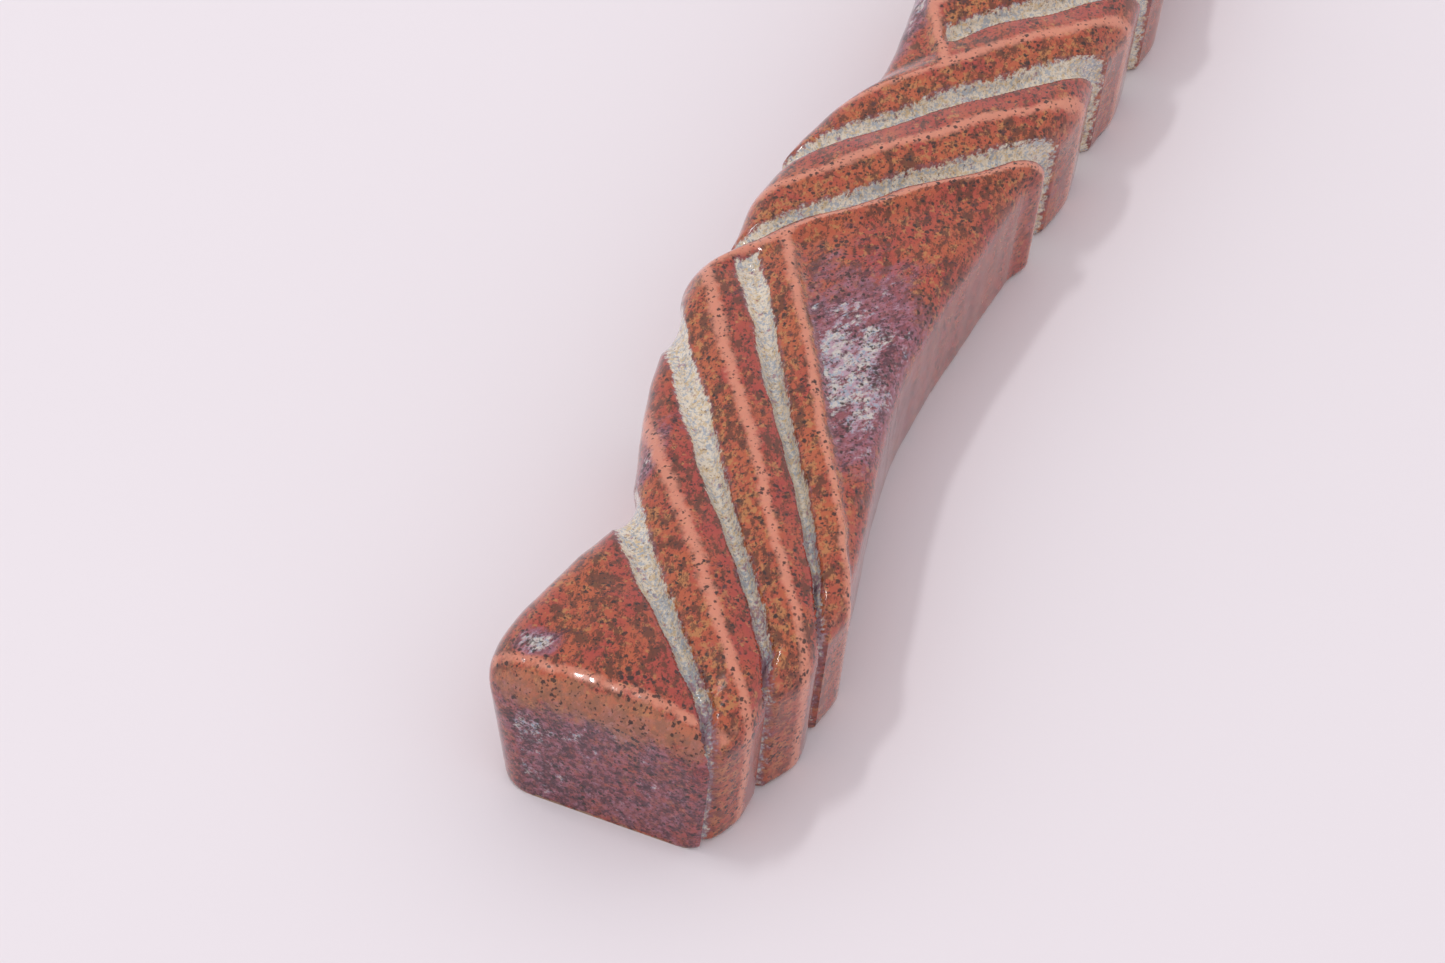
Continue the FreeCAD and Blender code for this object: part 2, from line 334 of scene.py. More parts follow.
@dataclass(frozen=True)
class ReactiveGlaze:
    """Thick glossy glaze that breaks pink on the crests and pools cream and blue in the grooves."""

    orange: Colour = (0.445, 0.102, 0.037)
    red: Colour = (0.37, 0.048, 0.034)
    ochre: Colour = (0.46, 0.23, 0.075)
    tan: Colour = (0.47, 0.20, 0.10)
    salmon: Colour = (0.66, 0.255, 0.165)
    brown: Colour = (0.095, 0.026, 0.011)
    black: Colour = (0.022, 0.010, 0.009)
    cream: Colour = (0.76, 0.69, 0.56)
    straw: Colour = (0.60, 0.44, 0.22)
    blue: Colour = (0.32, 0.40, 0.48)
    plum: Colour = (0.21, 0.066, 0.090)
    violet: Colour = (0.31, 0.14, 0.20)
    night: Colour = (0.045, 0.016, 0.026)
    lilac: Colour = (0.46, 0.30, 0.36)
    milk: Colour = (0.60, 0.57, 0.51)
    wall: Colour = (0.36, 0.095, 0.080)
    clay: Colour = (0.30, 0.19, 0.13)
    foot_height: float = 0.10
    red_clouds: Mottle = Mottle(3.6, 4.0, 0.62, 1.0, 0.32, 0.68)
    ochre_flecks: Mottle = Mottle(0.85, 3.0, 0.65, 2.0, 0.53, 0.63, 0.6)
    brown_blotches: Mottle = Mottle(1.05, 4.0, 0.75, 3.0, 0.50, 0.59, 0.84)
    brown_grains: Mottle = Mottle(0.5, 3.0, 0.75, 16.0, 0.53, 0.59, 0.72)
    lilac_streaks: Mottle = Mottle(0.7, 3.0, 0.7, 17.0, 0.44, 0.56)
    blue_grains: Mottle = Mottle(0.38, 3.0, 0.75, 7.0, 0.50, 0.58)
    night_streaks: Mottle = Mottle(0.8, 4.0, 0.75, 22.0, 0.58, 0.66, 0.7)
    end_murk: Mottle = Mottle(0.75, 5.0, 0.78, 25.0, 0.46, 0.60, 0.78)
    fringe_gaps: Mottle = Mottle(1.5, 2.0, 0.5, 18.0, 0.38, 0.58)
    groove_straw: Mottle = Mottle(0.7, 4.0, 0.75, 19.0, 0.47, 0.60, 0.8)
    groove_blue: Mottle = Mottle(0.40, 3.0, 0.8, 10.0, 0.49, 0.57, 0.80)
    groove_violet: Mottle = Mottle(0.9, 3.0, 0.75, 23.0, 0.58, 0.68, 0.75)
    groove_iron: Mottle = Mottle(0.36, 3.0, 0.8, 20.0, 0.58, 0.65, 0.68)

    def base(self, g: Graph, at: Sock) -> Sock:
        """Mottled orange and red body of the glaze, with painted light and shade: more ochre on groove sides
        that face the light, more red on sides turned away.

        Args:
            g: Graph to add to.
            at: Position in millimetres.

        Returns:
            The colour.
        """
        # Painted light and shade: the sides of the grooves lean the blotches towards ochre or red.
        painted_side_shading = g.trace(Trace.SIDE_SHADING) * 0.16
        colour = g.mix(self.red_clouds.over(g, at, painted_side_shading), self.orange, self.red)
        colour = g.mix(self.ochre_flecks.over(g, at, painted_side_shading * -0.5), colour, self.ochre)
        flow = g.stretched(at, (1.0, 0.6, 1.0), -18.0)
        crowd = (g.noise(at, 5.5, 2.0, 0.5, 21.0) - 0.5) * 0.35
        colour = g.mix(self.brown_blotches.over(g, flow, crowd), colour, self.brown)
        return g.mix(self.brown_grains.over(g, flow), colour, self.brown)

    def crests(self, g: Graph, at: Sock, colour: Sock) -> Sock:
        """Thin glaze that breaks pink along every crest and rounded edge.

        Args:
            g: Graph to add to.
            at: Position in millimetres.
            colour: Colour so far.

        Returns:
            The colour with the crests.
        """
        ragged = g.noise(at, 0.9, 4.0, 0.7, 4.0) * 1.1 - 0.55
        near = g.step(g.trace(Trace.CREST) + ragged, 0.36, 0.90)
        return g.mix(near * 0.86, colour, self.salmon)

    def patches(self, g: Graph, at: Sock, colour: Sock) -> Sock:
        """Plum, lilac and milky blue streaks where the glaze has pooled on the flat.

        Args:
            g: Graph to add to.
            at: Position in millimetres.
            colour: Colour so far.

        Returns:
            The colour with the pools.
        """
        pool = g.trace(Trace.POOL)
        flow = g.stretched(at, (1.0, 0.5, 1.0), 28.0)
        broad = g.noise(flow, 1.9, 5.0, 0.72, 5.0)
        fine = g.noise(flow, 0.42, 4.0, 0.75, 6.0)
        plum = g.step(pool * 0.62 + broad * 0.75, 0.50, 0.74)
        milk = g.step(pool * 0.50 + broad * 0.85 + fine * 0.65, 1.08, 1.22)
        pale = g.mix(self.lilac_streaks.over(g, flow), self.milk, self.lilac)
        pale = g.mix(self.blue_grains.over(g, at), pale, self.blue)
        dusk = g.mix(g.step(fine, 0.45, 0.56), self.plum, self.violet)
        colour = g.mix(plum * 0.8, colour, dusk)
        colour = g.mix(self.night_streaks.over(g, flow, pool * 0.14), colour, self.night)
        return g.mix(milk * 0.88, colour, pale)

    def grooves(self, g: Graph, at: Sock, colour: Sock) -> Sock:
        """Cream glaze in the grooves, with blue and straw speckles and a ragged plum fringe.

        Args:
            g: Graph to add to.
            at: Position in millimetres.
            colour: Colour so far.

        Returns:
            The colour with the grooves.
        """
        ragged = g.noise(at, 0.62, 4.0, 0.75, 8.0) * 1.4 - 0.76
        inside = g.trace(Trace.GROOVE) - LIP_SHIFT + ragged
        fringe = g.step(inside, -0.40, 0.0) * self.fringe_gaps.over(g, at)
        fill = g.step(inside, -0.10, 0.16)
        cloud = (g.noise(at, 2.6, 2.0, 0.5, 9.0) - 0.5) * 0.25
        low = g.step(g.part_of(at, "X") - g.part_of(at, "Y") * 0.25, 14.0, 30.0)
        tint = g.mix(self.groove_straw.over(g, at), self.cream, self.straw)
        tint = g.mix(self.groove_blue.over(g, at, low * 0.05 + cloud), tint, self.blue)
        tint = g.mix(self.groove_violet.over(g, at, low * 0.16), tint, self.violet)
        tint = g.mix(self.groove_iron.over(g, at), tint, self.brown)
        colour = g.mix(fringe * 0.7, colour, self.plum)
        return g.mix(fill * 0.93, colour, tint)

    def specks(self, g: Graph, at: Sock, colour: Sock) -> Sock:
        """Fine dark iron specks, thicker on some stretches than on others.

        Args:
            g: Graph to add to.
            at: Position in millimetres.
            colour: Colour so far.

        Returns:
            The colour with the specks.
        """
        bent = g.node("ShaderNodeVectorMath", {"operation": "MULTIPLY_ADD"},
                      {0: g.node("ShaderNodeTexNoise", {}, {"Vector": at, "Scale": 3.0}, "Color"),
                       1: (0.5, 0.5, 0.5), 2: at})
        crowd = g.noise(at, 4.0, 2.0, 0.5, 11.0)
        dot = g.step(g.cells(bent, 0.95) + (crowd - 0.5) * -0.5, 0.25, 0.15)
        turned = g.stretched(bent, (1.0, 1.0, 1.0), 40.0)
        pinpoint = g.step(g.cells(turned, 0.5) + crowd * -0.35, 0.12, 0.02)
        away = 1.0 - g.step(g.trace(Trace.GROOVE), LIP_SHIFT - 0.3, LIP_SHIFT + 0.1) * 0.75
        colour = g.mix(dot * 0.88 * away, colour, self.black)
        return g.mix(pinpoint * 0.75 * away, colour, self.black)

    def ends(self, g: Graph, at: Sock, colour: Sock) -> Sock:
        """Murky glaze on the end faces, thin and tan where it breaks over their upper rounding.

        Args:
            g: Graph to add to.
            at: Position in millimetres.
            colour: Colour so far.

        Returns:
            The colour with the ends.
        """
        along = g.node("ShaderNodeMath", {"operation": "ABSOLUTE"}, {0: g.part_of(at, "Y")})
        murk = self.end_murk.over(g, at) * g.step(along, 73.6, 74.8)
        colour = g.mix(murk, colour, self.night)
        high = g.step(g.part_of(at, "Z"), 11.5, 16.5) * g.step(along, 72.5, 74.2)
        thin = g.step(high * 0.55 + g.noise(at, 1.9, 6.0, 0.8, 24.0) * 1.5 - 0.22, 0.66, 0.96)
        return g.mix(thin * 0.48, colour, self.tan)

    def material(self) -> bpy.types.Material:
        """Build the glaze material.

        Returns:
            The material.
        """
        g = Graph("reactive_glaze")
        at = g.position()
        colour = self.base(g, at)
        colour = g.mix(g.trace(Trace.WALL) * 0.35, colour, self.wall)
        for layer in (self.patches, self.ends, self.crests, self.grooves, self.specks):
            colour = layer(g, at, colour)
        line = g.part_of(at, "Z") + (g.noise(at, 1.2, 3.0, 0.7, 12.0) - 0.5) * -1.2
        bare = g.step(line, self.foot_height * 2.0, self.foot_height)
        colour = g.mix(bare, colour, self.clay)
        dull = g.noise(at, 1.4, 3.0, 0.6, 13.0)
        skin = g.noise(at, 1.8, 2.0, 0.5, 14.0) * 0.75 + g.noise(at, 0.35, 2.0, 0.6, 15.0) * 0.25
        return g.surface({
            "Base Color": colour,
            "Roughness": g.step(dull, 0.3, 0.8) * 0.16 + 0.10 + bare * 0.5,
            "Coat Weight": (1.0 - bare) * 0.45,
            "Specular IOR Level": 0.28,
            "Coat Roughness": 0.03,
            "Normal": g.bump(skin, 0.00006, 0.55),
        })


@dataclass(frozen=True)
class BareClay:
    """Fired stoneware with no glaze, on the back and inside."""

    pale: Colour = (0.56, 0.43, 0.32)
    dark: Colour = (0.36, 0.24, 0.165)
    grog: Colour = (0.14, 0.085, 0.06)

    def material(self) -> bpy.types.Material:
        """Build the clay material.

        Returns:
            The material.
        """
        g = Graph("bare_stoneware")
        at = g.position()
        cloud = g.noise(at, 7.0, 5.0, 0.6, 1.0)
        colour = g.mix(g.step(cloud, 0.3, 0.7), self.pale, self.dark)
        dot = g.step(g.cells(at, 1.3) + g.noise(at, 3.0, 2.0, 0.5, 2.0) * -0.2, 0.06, 0.0)
        colour = g.mix(dot * 0.8, colour, self.grog)
        grain = g.noise(at, 0.3, 4.0, 0.7, 3.0)
        return g.surface({
            "Base Color": colour,
            "Roughness": grain * 0.2 + 0.72,
            "Normal": g.bump(grain, 0.00008, 0.6),
        })


@dataclass(frozen=True)
class MouldedRubber:
    """Black moulded rubber with a dusty bloom."""

    deep: Colour = (0.018, 0.017, 0.018)
    bloom: Colour = (0.055, 0.052, 0.050)

    def material(self) -> bpy.types.Material:
        """Build the rubber material.

        Returns:
            The material.
        """
        g = Graph("moulded_rubber")
        at = g.position()
        cloud = g.noise(at, 2.5, 4.0, 0.65, 1.0)
        grain = g.noise(at, 0.16, 2.0, 0.6, 2.0)
        return g.surface({
            "Base Color": g.mix(g.step(cloud, 0.4, 0.75), self.deep, self.bloom),
            "Roughness": cloud * 0.22 + 0.48,
            "Normal": g.bump(grain, 0.00003, 0.5),
        })


@dataclass(frozen=True)
class AnimalParchment:
    """Cream animal-skin parchment with follicles and faint veins."""

    cream: Colour = (0.78, 0.69, 0.52)
    tan: Colour = (0.62, 0.49, 0.32)
    pore: Colour = (0.42, 0.31, 0.19)

    def material(self) -> bpy.types.Material:
        """Build the parchment material.

        Returns:
            The material.
        """
        g = Graph("animal_parchment")
        at = g.position()
        cloud = g.noise(g.stretched(at, (1.0, 0.5, 1.0)), 9.0, 5.0, 0.6, 1.0)
        colour = g.mix(g.step(cloud, 0.35, 0.72), self.cream, self.tan)
        pores = g.step(g.cells(at, 0.55) + g.noise(at, 4.0, 2.0, 0.5, 2.0) * -0.25, 0.05, -0.03)
        colour = g.mix(pores * 0.5, colour, self.pore)
        grain = g.noise(at, 0.4, 4.0, 0.65, 3.0)
        return g.surface({
            "Base Color": colour,
            "Roughness": grain * 0.2 + 0.55,
            "Normal": g.bump(grain, 0.00005, 0.5),
        })


@dataclass(frozen=True)
class ClearFilm:
    """Thin clear film with soft wrinkles, a little milky where it doubles."""

    tint: Colour = (0.86, 0.90, 0.92)
    thin: float = 0.16
    thick: float = 0.34

    def material(self) -> bpy.types.Material:
        """Build the film material.

        Returns:
            The material.
        """
        g = Graph("clear_film")
        at = g.position()
        crease = g.noise(g.stretched(at, (1.0, 0.18, 1.0), 8.0), 1.1, 4.0, 0.6, 1.0)
        cloud = g.noise(at, 5.0, 3.0, 0.5, 2.0)
        return g.surface({
            "Base Color": g.mix(cloud, self.tint, (1.0, 1.0, 1.0)),
            "Roughness": cloud * 0.08 + 0.06,
            "Alpha": g.step(crease, 0.45, 0.75) * (self.thick - self.thin) + self.thin,
            "Normal": g.bump(crease, 0.00015, 0.6),
        })


@dataclass(frozen=True)
class StudioPaper:
    """Pale lilac-white paper that the case lies on."""

    tone: Colour = (0.818, 0.775, 0.804)
    shade: Colour = (0.798, 0.755, 0.784)

    def material(self) -> bpy.types.Material:
        """Build the paper material.

        Returns:
            The material.
        """
        g = Graph("studio_paper")
        at = g.position()
        cloud = g.noise(at, 60.0, 3.0, 0.5, 1.0)
        grain = g.noise(at, 0.5, 3.0, 0.6, 2.0)
        return g.surface({
            "Base Color": g.mix(cloud, self.tone, self.shade),
            "Roughness": grain * 0.1 + 0.75,
            "Normal": g.bump(grain, 0.00002, 0.3),
        })


# ---- Carved pattern ---------------------------------------------------------------------------------


def ease(share: np.ndarray) -> np.ndarray:
    """Smooth step from 0 to 1."""
    share = np.clip(share, 0.0, 1.0)
    return share * share * (3.0 - 2.0 * share)


@dataclass
class Carving:
    """Depth of the carving and what the glaze follows.

    Attributes:
        depth: Depth below the uncarved surface.
        lip: Distance inside the nearest groove's edge, negative outside.
        crest: Distance from the nearest crest.
        tilt: Value from -1 to 1 that tells the two sides of a groove apart, for painted light and shade:
            negative on the side that faces the light, positive on the side turned away.
        plain: Share of a plain field.
    """

    depth: np.ndarray
    lip: np.ndarray
    crest: np.ndarray
    tilt: np.ndarray
    plain: np.ndarray

    def choose(self, mask: np.ndarray, other: "Carving") -> "Carving":
        """Take the other carving where the mask is true.

        Args:
            mask: Where to take the other carving.
            other: The other carving.

        Returns:
            The merged carving.
        """
        pairs = zip(vars(self).values(), vars(other).values())
        return Carving(*(np.where(mask, theirs, mine) for mine, theirs in pairs))

    def fade(self, distance: np.ndarray, run: float) -> "Carving":
        """Rise to a ridge that crosses the carving.

        Args:
            distance: Distance from the ridge's crest.
            run: Run over which the carving rises.

        Returns:
            The faded carving.
        """
        share = ease(distance / run)
        return Carving(self.depth * share, np.minimum(self.lip, distance - 0.45 * run),
                       np.minimum(self.crest, distance), self.tilt * share, self.plain)


@dataclass(frozen=True)
class Band:
    """Parallel grooves with a roof-shaped ridge between each two.

    A line crosses the case's middle at its number and falls to the right by its slope. The slope
    grows by fan with each millimetre of number past the first groove.

    Attributes:
        first: Number of the first groove.
        pitch: Number from one groove to the next.
        count: Number of grooves.
        slope: Fall of the first groove for each millimetre to the right.
        fan: Growth of the slope with the number.
        lead: Number from the crest below to the first groove.
        narrow: Half width of a groove at the right edge, in number.
        wide: Half width of a groove at the left edge, in number.
        shallow: Share of a groove's depth that is lost towards the left edge.
        open_start: Whether the glaze leaves the crest below the first groove alone.
        roof_fall: Drop from a crest to its groove.
        roof_softness: Roundness of the crests.
        groove_depth: Depth of a groove below the drop.
        floor_flatness: Power that shapes a groove's section; 2 is round, more is flatter.
        taper_reach: Distance from the middle at which the half widths are reached.
        waver: Share by which the half widths wander.
        shallow_run: Distance from the middle at which the depth is lost.
        crest_gap: Least distance from a crest that an open start is given.
        field_run: Distance from the last crest at which a field is plain.
    """

    first: float
    pitch: float
    count: int
    slope: float
    fan: float
    lead: float
    narrow: float
    wide: float
    shallow: float = 0.0
    open_start: bool = False
    roof_fall: float = 1.0
    roof_softness: float = 0.16
    groove_depth: float = 1.45
    floor_flatness: float = 3.2
    taper_reach: float = 13.0
    waver: float = 0.07
    shallow_run: float = 8.0
    crest_gap: float = 1.1
    field_run: float = 3.0

    def number(self, x: np.ndarray, place: np.ndarray) -> np.ndarray:
        """Number of the line through each point."""
        start = self.slope - self.fan * self.first
        return (place + start * x) / (1.0 - self.fan * x)

    @property
    def lower_crest(self) -> float:
        """Number of the crest below the first groove."""
        return self.first - self.lead

    @property
    def upper_crest(self) -> float:
        """Number of the crest above the last groove."""
        return self.first + (self.count - 0.5) * self.pitch

    def across(self) -> float:
        """Millimetres square to the lines for each millimetre of number."""
        middle = self.slope + self.fan * self.pitch * (self.count - 1) / 2.0
        return 1.0 / math.hypot(1.0, middle)

    def carve(self, x: np.ndarray, number: np.ndarray) -> Carving:
        """Carve the band.

        Args:
            x: Place across the case.
            number: Line numbers.

        Returns:
            The carving.
        """
        index = np.clip(np.round((number - self.first) / self.pitch), 0, self.count - 1)
        offset = number - self.first - index * self.pitch
        run = np.where((index == 0) & (offset < 0.0), self.lead, self.pitch / 2.0)
        climb = np.minimum(1.0, np.abs(offset) / run)
        soft = self.roof_softness
        roof = (np.hypot(1.0 - climb, soft) - soft) / (math.hypot(1.0, soft) - soft)
        taper = ease((x + self.taper_reach) / (2.0 * self.taper_reach))
        half = self.wide + (self.narrow - self.wide) * taper
        half = half * (1.0 + self.waver * np.sin(0.83 * number + 0.9 * x + index))
        trough = np.maximum(0.0, 1.0 - np.abs(offset / half) ** self.floor_flatness)
        trough = trough * (1.0 - self.shallow * ease(-x / self.shallow_run))
        across = self.across()
        plain = np.abs(offset) > run
        crest = np.abs(np.abs(offset) - run) * across
        if self.open_start:
            crest = np.where((index == 0) & (offset < 0.0), np.maximum(crest, self.crest_gap), crest)
        return Carving(
            depth=self.roof_fall * roof + self.groove_depth * trough,
            lip=(half - np.abs(offset)) * across,
            crest=crest,
            # Painted light and shade: the side above each groove is marked as facing the light, the side
            # below as turned away.
            tilt=-np.sign(offset) * (1.0 - climb),
            plain=np.where(plain, ease(crest / self.field_run), 0.0),
        )


@dataclass(frozen=True)
class CarvedPattern:
    """Bands and plain fields that wind along the case; the same layout as the frame's solid."""

    lower: Band = Band(first=14.0, pitch=14.2, count=3, slope=1.14, fan=0.016, lead=7.0,
                       narrow=1.3, wide=2.3, shallow=0.6, open_start=True)
    middle: Band = Band(first=75.4, pitch=14.2, count=3, slope=-1.05, fan=0.0, lead=3.3,
                        narrow=2.1, wide=1.8, shallow=0.3)
    upper: Band = Band(first=97.0, pitch=14.5, count=3, slope=1.8, fan=0.0, lead=7.25,
                       narrow=1.8, wide=2.2, shallow=0.3)
    field_depth: float = 0.9
    field_slope: float = 3.0
    rim_run: float = 2.0
    wander: float = 0.22

    def beyond(self, band: Band, x: np.ndarray, number: np.ndarray) -> Carving:
        """Carve a band and the plain field that lies past its last crest.

        Args:
            band: The band.
            x: Place across the case.
            number: The band's line numbers.

        Returns:
            The carving.
        """
        carved = band.carve(x, number)
        past = number - band.upper_crest
        plain = self.plain_field(past, band.across())
        return carved.choose(past > 0.0, plain)

    def plain_field(self, past: np.ndarray, across: float) -> Carving:
        """Field that drops away from a crest.

        Args:
            past: Distance past the crest, in numbers.
            across: Millimetres for each number.

        Returns:
            The carving.
        """
        share = ease(past / self.field_slope)
        no_groove = np.full_like(past, -9.0)
        # The fourth value is painted light: the field by its crest is marked as facing the light.
        return Carving(self.field_depth * share, no_groove, np.abs(past) * across, -(1.0 - share), share)

    def carve(self, x: np.ndarray, place: np.ndarray) -> Carving:
        """Carve the whole pattern.

        Args:
            x: Place across the case.
            place: Distance from the bottom end.

        Returns:
            The carving.
        """
        sway = np.sin(0.47 * place + 0.21 * x + 0.6) + 0.6 * np.sin(1.13 * place - 0.45 * x + 2.0)
        place = place + self.wander * sway
        low = self.lower.number(x, place)
        middle = self.middle.number(x, place)
        high = self.upper.number(x, place)
        across = self.middle.across()
        below = self.middle.lower_crest - middle
        left_crest = self.middle.first + 1.5 * self.middle.pitch
        past_left = middle - left_crest
        past_top = middle - self.middle.upper_crest
        rise = high - self.upper.lower_crest
        carved = self.middle.carve(x, middle)
        mouth = carved.fade(rise * self.upper.across(), self.rim_run)
        carved = carved.choose(past_left > 0.0, mouth)
        steep = self.beyond(self.upper, x, high).fade(past_top * across, self.rim_run)
        carved = carved.choose(past_top > 0.0, steep)
        notch = self.plain_field(-rise, self.upper.across())
        notch = notch.fade(past_left * across, self.field_slope)
        carved = carved.choose((past_left > 0.0) & (rise < 0.0), notch)
        under = self.beyond(self.lower, x, low).fade(below * across, self.rim_run)
        return carved.choose(below > 0.0, under)


# ---- Mesh helpers -----------------------------------------------------------------------------------


def make_object(name: str, points: Iterable[Sequence[float]], faces: Iterable[Sequence[int]],
                materials: Sequence[bpy.types.Material]) -> bpy.types.Object:
    """Make an object from points in millimetres.

    Args:
        name: Name of the object.
        points: Vertices in millimetres.
        faces: Vertex indices of each face.
        materials: Material slots.

    Returns:
        The object, linked to the scene.
    """
    mesh = bpy.data.meshes.new(name)
    mesh.from_pydata((np.asarray(points, dtype=float) * MM).tolist(), [], list(faces))
    for material in materials:
        mesh.materials.append(material)
    mesh.update()
    made = bpy.data.objects.new(name, mesh)
    bpy.context.scene.collection.objects.link(made)
    return made


def apply_modifiers(target: bpy.types.Object) -> None:
    """Bake an object's modifiers into its mesh.

    Args:
        target: Object that changes.
    """
    depsgraph = bpy.context.evaluated_depsgraph_get()
    baked = bpy.data.meshes.new_from_object(target.evaluated_get(depsgraph))
    target.modifiers.clear()
    target.data = baked


def boolean(target: bpy.types.Object, tool: bpy.types.Object, operation: str) -> None:
    """Combine a tool with a target and remove the tool.

    Args:
        target: Object that changes.
        tool: Object that is used up.
        operation: DIFFERENCE or UNION.
    """
    modifier = target.modifiers.new("combine", "BOOLEAN")
    modifier.operation = operation
    modifier.solver = "EXACT"
    modifier.material_mode = "TRANSFER"
    modifier.object = tool
    apply_modifiers(target)
    bpy.data.objects.remove(tool, do_unlink=True)


def smooth(target: bpy.types.Object, sharp_over: float = 50.0) -> None:
    """Shade smooth, with edges sharper than an angle left sharp.

    Args:
        target: Object to shade.
        sharp_over: Angle in degrees.
    """
    target.data.shade_smooth()
    target.data.set_sharp_from_angle(angle=math.radians(sharp_over))


def arc(centre: tuple[float, float], radius: float, start: float, end: float, count: int) -> Outline:
    """Points on an arc, both ends included.

    Args:
        centre: Centre of the arc.
        radius: Radius of the arc.
        start: Angle of the first point, in degrees.
        end: Angle of the last point, in degrees.
        count: Steps from the first point to the last.

    Returns:
        The points.
    """
    turns = [math.radians(start + (end - start) * step / count) for step in range(count + 1)]
    return [(centre[0] + radius * math.cos(turn), centre[1] + radius * math.sin(turn)) for turn in turns]


def double_wall(rows: int, count: int, closed: bool) -> list[list[int]]:
    """Faces of two equal grids of points, and of the rims that join them.

    Args:
        rows: Rows of points in each grid.
        count: Points in each row.
        closed: Whether each row closes on itself.

    Returns:
        Vertex indices of each face.
    """
    far, last = rows * count, (rows - 1) * count
    steps = [(step, (step + 1) % count) for step in range(count if closed else count - 1)]
    faces = []
    for start in range(0, last, count):
        for step, after in steps:
            a, b = start + step, start + after
            faces.append([a, b, b + count, a + count])
            faces.append([far + a, far + a + count, far + b + count, far + b])
    rims = [(after, step) for step, after in steps] + [(last + step, last + after) for step, after in steps]
    if not closed:
        rims += [(start, start + count) for start in range(0, last, count)]
        rims += [(start + 2 * count - 1, start + count - 1) for start in range(0, last, count)]
    return faces + [[a, b, far + b, far + a] for a, b in rims]


def prism(name: str, rings: Sequence[Sequence[Sequence[float]]],
          material: bpy.types.Material) -> bpy.types.Object:
    """Closed solid through a row of equal rings.

    Args:
        name: Name of the object.
        rings: Rings of points, each with as many points.
        material: Material of every face.

    Returns:
        The solid.
    """
    count = len(rings[0])
    points = [point for ring in rings for point in ring]
    faces: list[list[int]] = [list(range(count))]
    for row in range(len(rings) - 1):
        start = row * count
        for step in range(count):
            after = (step + 1) % count
            faces.append([start + step, start + after, start + count + after, start + count + step])
    faces.append([len(points) - 1 - step for step in range(count)])
    made = make_object(name, points, faces, [material])
    face_outwards(made)
    return made


def face_outwards(target: bpy.types.Object) -> None:
    """Turn every face to look outwards.

    Args:
        target: Closed object that changes.
    """
    shape = bmesh.new()
    shape.from_mesh(target.data)
    bmesh.ops.recalc_face_normals(shape, faces=shape.faces)
    shape.to_mesh(target.data)
    shape.free()


def adopt(piece: bpy.types.Object, node: str, body: Body) -> None:
    """Make a piece stand for a frame node.

    Args:
        piece: Finished piece.
        node: Node that it replaces.
        body: Body that it rides on.
    """
    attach(piece, body.value)
    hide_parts(node)
    box = [round(value / MM, 1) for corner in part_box(node) for value in corner]
    LOG.info("%s: %d faces, for a node of %s mm", piece.name, len(piece.data.polygons), box)


@dataclass(frozen=True)
class Span:
    """Box of a frame node, in millimetres."""

    low: Sequence[float]
    high: Sequence[float]

    @classmethod
    def of(cls, node: str) -> "Span":
        """Read the box of a node."""
        low, high = ([value / MM for value in corner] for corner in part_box(node))
        return cls(low, high)

    def size(self, axis: int) -> float:
        """Extent along an axis, to a tenth of a millimetre."""
        return round(self.high[axis] - self.low[axis], 1)

    def middle(self, axis: int) -> float:
        """Middle along an axis, to a tenth of a micrometre."""
        return round((self.high[axis] + self.low[axis]) / 2.0, 4)


# ---- Sub-assemblies ---------------------------------------------------------------------------------


@dataclass(frozen=True)
class Pool:
    """Soft oval spot where the glaze has pooled."""

    x: float
    place: float
    reach: tuple[float, float]
    strength: float
    turn: float = 0.0
    on_field: bool = False

    def share(self, x: np.ndarray, place: np.ndarray) -> np.ndarray:
        """Strength of the spot at each point.

        Args:
            x: Place across the case.
            place: Distance from the bottom end.

        Returns:
            The strength.
        """
        cos, sin = math.cos(math.radians(self.turn)), math.sin(math.radians(self.turn))
        dx, dy = x - self.x, place - self.place
        along, across = (cos * dx + sin * dy) / self.reach[0], (cos * dy - sin * dx) / self.reach[1]
        return self.strength * np.exp(-(along ** 2 + across ** 2))


